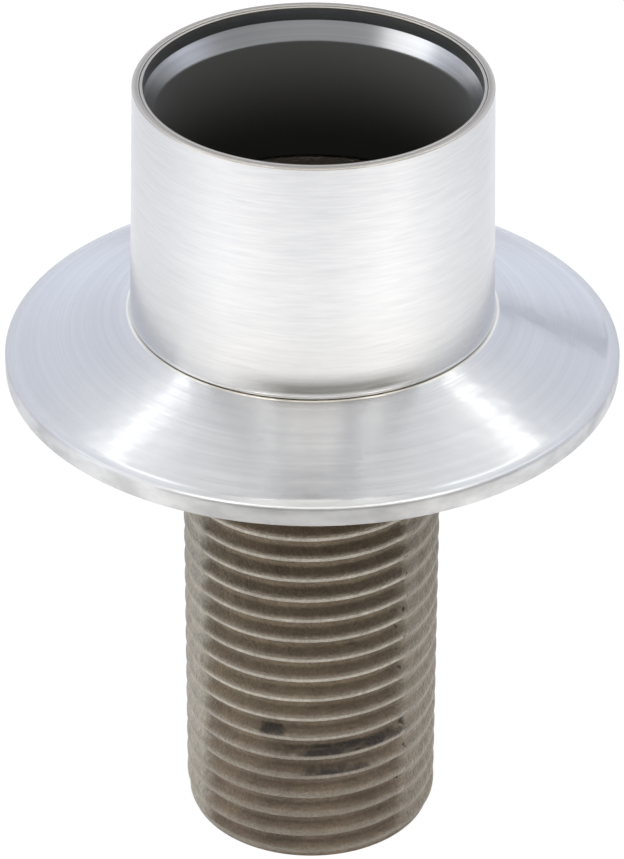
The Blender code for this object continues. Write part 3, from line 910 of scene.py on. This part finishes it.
nut_mesh = bmesh.new()
chain(nut_mesh, thread_corners(nut_base, nut_top, THREAD_GAP), closed=False, segments=2)
spin_round(nut_mesh, NUT_STEPS, PITCH)
mouth = CREST_RADIUS + THREAD_GAP + COUNTERSINK * 0.5
draw_in(nut_mesh, nut_base, nut_top, mouth, mouth, COUNTERSINK * 1.6)
shell_mesh = bmesh.new()
chain(
    shell_mesh,
    [
        (mouth, nut_top, 0),
        (nut_flat - FACE_STEP, nut_top, 0),
        (nut_flat, nut_top, NUT_EDGE),
        (nut_flat, nut_middle, 0),
        (nut_flat, nut_base, NUT_EDGE),
        (nut_flat - FACE_STEP, nut_base, 0),
        (mouth, nut_base, 0),
    ],
    closed=False,
)
spin_round(shell_mesh, NUT_STEPS)
for vert in shell_mesh.verts:
    flat = vert.co.xy
    if flat.length < nut_flat - FACE_STEP / 2:
        continue
    reach = flat.length * hexagon_reach(math.atan2(flat.y, flat.x))
    drop = (reach - flat.length) * NUT_CHAMFER_SLOPE
    half = abs(vert.co.z - nut_middle)
    keep = max(half - drop, 0) / half if half else 0
    vert.co = (*(flat.normalized() * reach), nut_middle + (vert.co.z - nut_middle) * keep)
join_shells(nut_mesh, shell_mesh)
nut = to_piece(nut_mesh, "hex_lock_nut")


# %% [markdown]
# The nut and the washer are machined from bronze bar, so they are brighter and yellower than the casting.
# The nut's flats are milled in level lines, and the washer's faces are turned in rings. Rings on the nut's
# flats would look like wood grain. One finish takes the lines that suit the piece, and browner patches are
# common to both.

# %% Finish the nut
LINE_DEPTH = 0.006 * MM
TARNISH = [(0.50, 0.0), (0.75, 0.45)]
TARNISH_SHADE = 0.7


def make_bronze_finish(name, light, dark, lines_of):
    """Machined bronze. Its fine tool lines come from lines_of, and patches of it have gone browner."""
    material, shader = new_finish(name, Metallic=1.0)
    tree = material.node_tree
    lines = lines_of(tree)
    patch = noise(tree, place(tree).coords, 160.0, 5.0)
    browner = tuple(channel * TARNISH_SHADE for channel in dark)
    color = ramp(tree, lines, [(0.3, dark), (0.7, light)])
    join_shader(tree, shader, Base_Color=blend_colors(tree, ramp(tree, patch, TARNISH), color, browner),
                Roughness=ramp(tree, patch, [(0.3, 0.22), (0.7, 0.36)]),
                Normal=bump(tree, lines, LINE_DEPTH, 0.4))
    return material


def milled_lines(tree):
    """Level lines along the flats of a nut, as a milling cutter leaves them."""
    _, x, y, z, _ = place(tree)
    levels = {0: product(tree, x, 40.0), 1: product(tree, y, 40.0), 2: product(tree, z, 6000.0)}
    return noise(tree, add(tree, "ShaderNodeCombineXYZ", levels).outputs[0], 1.0, 2.0)


def faced_lines(tree):
    """Rings on the flat faces of a washer, as a lathe leaves them."""
    return turned_noise(tree, 25, 4500, 2.0)


nut_finish = make_bronze_finish("nut_bronze", (0.60, 0.46, 0.28), (0.50, 0.37, 0.21), milled_lines)
settle(nut, "lock_nut", "nut", nut_finish)

# %% [markdown]
# ## Washer, gasket and O-rings
#
# These are plain rings. The washer spreads the nut's load, the gasket seals on the hull, and the two
# O-rings seal the stem's collar. A torus would do for an O-ring, but a spun circle uses the same helper as
# the rest.

# %% Model the washer and the seals
WASHER_BORE = 11.1 * MM
washer = turned_piece(
    "thrust_washer_ring",
    [
        (washer_radius, washer_top, 0.2 * MM),
        (washer_radius, washer_base, 0.2 * MM),
        (WASHER_BORE, washer_base, 0.15 * MM),
        (WASHER_BORE, washer_top, 0.15 * MM),
    ],
)
washer_finish = make_bronze_finish("washer_bronze", (0.62, 0.48, 0.31), (0.52, 0.39, 0.24), faced_lines)
settle(washer, "thrust_washer", "washer", washer_finish)

gasket_inner = groove_inner + GASKET_CLEARANCE
gasket = turned_piece(
    "rubber_hull_gasket",
    [
        (gasket_radius, gasket_top, 0.15 * MM),
        (gasket_radius, gasket_base, 0.2 * MM),
        (gasket_inner, gasket_base, 0.2 * MM),
        (gasket_inner, gasket_top, 0.15 * MM),
    ],
)


def o_ring(name, node):
    """A round cord between the inner and outer radius of the solid that it replaces."""
    outer, low, high = extent(node)
    half = (high - low) / 2
    bm = bmesh.new()
    bmesh.ops.create_circle(bm, segments=16, radius=half)
    bmesh.ops.rotate(bm, verts=bm.verts, cent=(0, 0, 0), matrix=Matrix.Rotation(math.pi / 2, 3, "X"))
    bmesh.ops.translate(bm, verts=bm.verts, vec=(outer - half, 0, low + half))
    spin_round(bm)
    return to_piece(bm, name)


flange_seal = o_ring("flange_seal_ring", "flange_o_ring")
collar_seal = o_ring("collar_seal_ring", "collar_o_ring")


# %% [markdown]
# Rubber is dull and nearly black, with a little grey dust lying on it in a film. The same finish serves
# both compounds: the gasket's is a little lighter than the nitrile of the O-rings.

# %% Finish the rubber
SPECK_DEPTH = 0.03 * MM
DUST_FILM = [(0.4, 0.0), (0.75, 0.8)]


def make_rubber_finish(name, shade, dust):
    material, shader = new_finish(name, Metallic=0.0, Specular_IOR_Level=0.4)
    tree = material.node_tree
    coords = place(tree).coords
    speck = noise(tree, coords, 2200.0)
    film = noise(tree, coords, 180.0, 4.0)
    join_shader(tree, shader, Base_Color=blend_colors(tree, ramp(tree, film, DUST_FILM), shade, dust),
                Roughness=ramp(tree, film, [(0.3, 0.55), (0.7, 0.8)]),
                Normal=bump(tree, speck, SPECK_DEPTH, 0.5))
    return material


nitrile = make_rubber_finish("nitrile_rubber", (0.018, 0.018, 0.019), (0.05, 0.05, 0.048))
gasket_rubber = make_rubber_finish("gasket_rubber", (0.022, 0.022, 0.023), (0.07, 0.068, 0.065))
settle(gasket, "hull_gasket", "fitting", gasket_rubber)
settle(flange_seal, "flange_o_ring", "fitting", nitrile)
settle(collar_seal, "collar_o_ring", "fitting", nitrile)

# %% [markdown]
# ## Studio
#
# Polished metal shows its surroundings, so the room matters as much as the finish. The fitting stands on a
# pale, matt floor, which the camera sees as plain white. From underneath the floor is clear, so that the
# fitting's lower side can be looked at.

# %% Lay the floor
FLOOR_SIZE = 6.0
FLOOR_WHITE = 1.05
WHITE_SHARE = 0.9
floor_mesh = bmesh.new()
bmesh.ops.create_grid(floor_mesh, x_segments=1, y_segments=1, size=FLOOR_SIZE / 2)
floor = to_piece(floor_mesh, "pale_floor")
floor_finish, floor_shader = new_finish("pale_floor", Roughness=0.9, Specular_IOR_Level=0.0)
floor_shader.inputs["Base Color"].default_value = (0.90, 0.90, 0.90, 1)
floor.data.materials.append(floor_finish)
floor_tree = floor_finish.node_tree


def mix_shaders(tree, share, first, second):
    """The second shader where the share is 1, and the first where it is 0."""
    inputs = {0: share, 1: first.outputs[0], 2: second.outputs[0]}
    return add(tree, "ShaderNodeMixShader", inputs)


seen = add(floor_tree, "ShaderNodeLightPath").outputs["Is Camera Ray"]
below = add(floor_tree, "ShaderNodeNewGeometry").outputs["Backfacing"]
white = add(floor_tree, "ShaderNodeEmission", {"Color": (1, 1, 1, 1), "Strength": FLOOR_WHITE})
clear = add(floor_tree, "ShaderNodeBsdfTransparent")
from_above = mix_shaders(floor_tree, product(floor_tree, seen, WHITE_SHARE), floor_shader, white)
both_sides = mix_shaders(floor_tree, product(floor_tree, seen, below), from_above, clear)
floor_tree.links.new(both_sides.outputs[0], floor_tree.nodes["Material Output"].inputs["Surface"])
print(f"floor {FLOOR_SIZE:.0f} m across")

# %% [markdown]
# Two narrow light bars behind the fitting draw the two bright streaks on the cone. A fill above the camera
# and one at the left light the stem. Area lights are soft, and their shape is what a polished cone shows.

# %% Hang the lights
LIGHT_TARGET = Vector((0, 0, 0.05))


def new_light(name, power, color):
    light = bpy.data.lights.new(name, "AREA")
    light.energy = power
    light.color = color
    lamp = bpy.data.objects.new(name, light)
    lamp.visible_camera = False
    bpy.context.scene.collection.objects.link(lamp)
    return light, lamp


def soft_box(name, azimuth, elevation, distance, width, height, power, color=(1, 1, 1)):
    """An area light aimed at the barrel's middle. Azimuth 0 is behind the fitting, turning to +X."""
    light, lamp = new_light(name, power, color)
    light.shape = "RECTANGLE"
    light.size, light.size_y = width, height
    turn, rise = math.radians(azimuth), math.radians(elevation)
    away = Vector((math.sin(turn) * math.cos(rise), math.cos(turn) * math.cos(rise), math.sin(rise)))
    lamp.location = LIGHT_TARGET + away * distance
    lamp.rotation_euler = away.to_track_quat("Z", "Y").to_euler()


soft_box("left_bar", -34, 53, 1.0, 0.5, 0.035, 0.085)
soft_box("right_bar", 33, 50, 1.0, 0.5, 0.035, 0.085, (1.0, 0.96, 0.86))
soft_box("left_fill", -112, 12, 0.6, 0.4, 0.3, 0.45)
soft_box("front_fill", 180, 66, 0.7, 0.28, 0.3, 0.2, (1.0, 0.95, 0.87))

# %% [markdown]
# The barrel is upright, so it shows the floor and not the walls. Six lights hang low over the floor. Each
# brightens the patch that one part of the barrel shows, so the table of places and powers is the barrel's
# shading.

# %% Light the floor
FLOOR_LIGHT_HEIGHT = 0.2
FLOOR_LIGHT_SIZE = 0.1
FLOOR_LIGHT_SPREAD = math.radians(100)
WARM, COOL = (1.0, 0.97, 0.92), (0.96, 0.98, 1.0)
FLOOR_LIGHTS = [
    ("left_floor", -0.10, -0.12, 0.092, WARM),
    ("middle_floor", 0.02, -0.14, 0.030, (1.0, 0.965, 0.91)),
    ("right_floor", 0.12, -0.11, 0.105, WARM),
    ("far_left_floor", -0.15, 0.04, 0.022, COOL),
    ("far_right_floor", 0.15, 0.04, 0.022, COOL),
    ("back_floor", 0.0, 0.14, 0.042, (0.90, 0.95, 1.0)),
]
for name, x, y, power, color in FLOOR_LIGHTS:
    light, lamp = new_light(name, power, color)
    light.size = FLOOR_LIGHT_SIZE
    light.spread = FLOOR_LIGHT_SPREAD
    lamp.location = (x, y, FLOOR_LIGHT_HEIGHT)
print(f"{len(FLOOR_LIGHTS)} lights over the floor")

# %% [markdown]
# A small card hung in the room puts a grey streak into a shiny surface. Only reflections see this
# one, and it gives the right of the cone its streak.

# %% Hang the card
CARD_MIDDLE = (0.21, 0.46, 0.25)
CARD_WIDTH, CARD_HEIGHT = 0.10, 0.035
CARD_AZIMUTH = math.radians(-25)
CARD_SHADE = (0.64, 0.68, 0.76, 1)
card_mesh = bmesh.new()
bmesh.ops.create_grid(card_mesh, x_segments=1, y_segments=1, size=0.5)
upright = Matrix.Diagonal((CARD_WIDTH, 1, CARD_HEIGHT, 1)) @ Matrix.Rotation(math.pi / 2, 4, "X")
placed = Matrix.Translation(CARD_MIDDLE) @ Matrix.Rotation(CARD_AZIMUTH, 4, "Z") @ upright
bmesh.ops.transform(card_mesh, matrix=placed, verts=card_mesh.verts)
card = to_piece(card_mesh, "side_flag")
card_finish, card_shader = new_finish("side_flag", Roughness=0.9, Specular_IOR_Level=0.0)
card_shader.inputs["Base Color"].default_value = CARD_SHADE
card.data.materials.append(card_finish)
card.visible_camera = False

# %% [markdown]
# The walls are the world's own color, worked out from the direction looked in. Behind the fitting they are
# pale and change with height, with a darker strip in the middle that parts the cone's two bright halves.
# They are dim where the camera stands, so that the metal keeps some contrast.

# %% Color the walls
BACK_WALL = [
    (0.0, (0.76, 0.80, 0.92)),
    (0.60, (0.76, 0.79, 0.86)),
    (0.79, (0.88, 0.89, 0.91)),
    (0.855, (0.84, 0.85, 0.86)),
    (0.885, (0.70, 0.71, 0.73)),
    (0.915, (0.82, 0.82, 0.83)),
    (0.940, (0.76, 0.76, 0.76)),
    (0.953, (0.68, 0.69, 0.71)),
]
DARK_STRIP = [(0.03, 0.50), (0.09, 1.0), (0.14, (1.16, 1.15, 1.14)), (0.26, 1.12), (0.38, 1.0)]
FRONT_WALL = [(0.35, (0.24, 0.24, 0.25)), (0.75, 0.66)]

world = bpy.data.worlds.new("studio")
bpy.context.scene.world = world
world.use_nodes = True
sky = world.node_tree
direction = add(sky, "ShaderNodeTexCoord").outputs["Generated"]
right, back, up = add(sky, "ShaderNodeSeparateXYZ", {0: direction}).outputs
strip = ramp(sky, math_node(sky, "ABSOLUTE", right), DARK_STRIP)
back_wall = blend_colors(sky, 1.0, ramp(sky, up, BACK_WALL), strip, "MULTIPLY")
behind = smooth_between(sky, back, -0.5, 0.2)
wall = blend_colors(sky, behind, ramp(sky, up, FRONT_WALL), back_wall)
sky.links.new(wall, sky.nodes["Background"].inputs["Color"])
sky.nodes["Background"].inputs["Strength"].default_value = 1.0

# %% [markdown]
# ## Camera
#
# A long lens from about a third of a metre, looking down at the mouth, gives the slight taper that the
# stem shows below the flange.

# %% Set the camera
FOCAL_LENGTH = 172.4
SENSOR_SIDE = 36.0
DISTANCE = 0.3243
CAMERA_RISE = math.radians(27.25)
LOOK_DOWN = math.radians(32.07)
NEAR_LIMIT = 0.01
ROLL = math.radians(0.25)

lens = bpy.data.cameras.new("camera")
lens.lens = FOCAL_LENGTH
lens.sensor_width = SENSOR_SIDE
lens.sensor_fit = "AUTO"
lens.clip_start = NEAR_LIMIT
camera = bpy.data.objects.new("camera", lens)
camera.location = (
    0,
    -DISTANCE * math.cos(CAMERA_RISE),
    rim_top + DISTANCE * math.sin(CAMERA_RISE),
)
camera.rotation_euler = (
    Matrix.Rotation(math.pi / 2 - LOOK_DOWN, 3, "X") @ Matrix.Rotation(ROLL, 3, "Z")
).to_euler()
bpy.context.scene.collection.objects.link(camera)
bpy.context.scene.camera = camera
bpy.context.scene.view_settings.view_transform = "Standard"
print(f"camera {camera.location.length:.3f} m from the stem's end")
